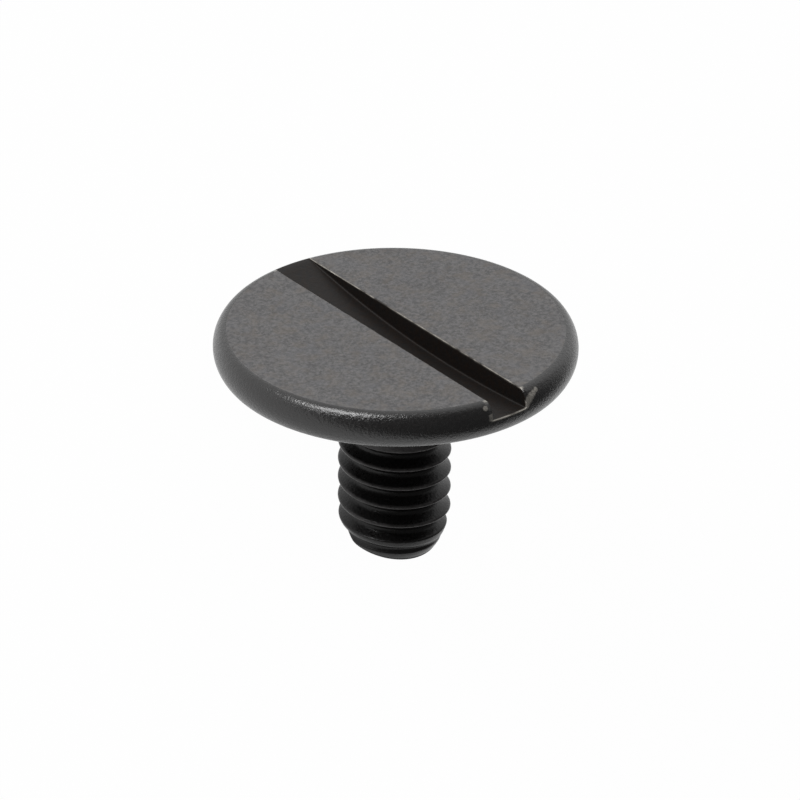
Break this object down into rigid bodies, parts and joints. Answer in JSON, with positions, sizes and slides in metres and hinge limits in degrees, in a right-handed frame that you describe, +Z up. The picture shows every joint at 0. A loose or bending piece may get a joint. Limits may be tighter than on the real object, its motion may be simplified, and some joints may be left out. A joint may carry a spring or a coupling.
{
  "type": "slotted large flat-head screw with a short threaded shank",
  "caption": "Blackened steel screw with a wide, thin, round flat head, one straight slot across it and a short threaded shank.",
  "frame": {"origin": "on the table, under the middle of the screw's box as it lies on its side", "axes": "+Z up from the table, +X across the head, the screw's axis in the YZ plane with the slotted face looking up and towards +Y"},
  "size_m": [0.0134, 0.0118, 0.0113],
  "materials": {
    "blackened_steel": "matte"
  },
  "bodies": {
    "root": {"screw": "blackened_steel"}
  },
  "joints": []
}
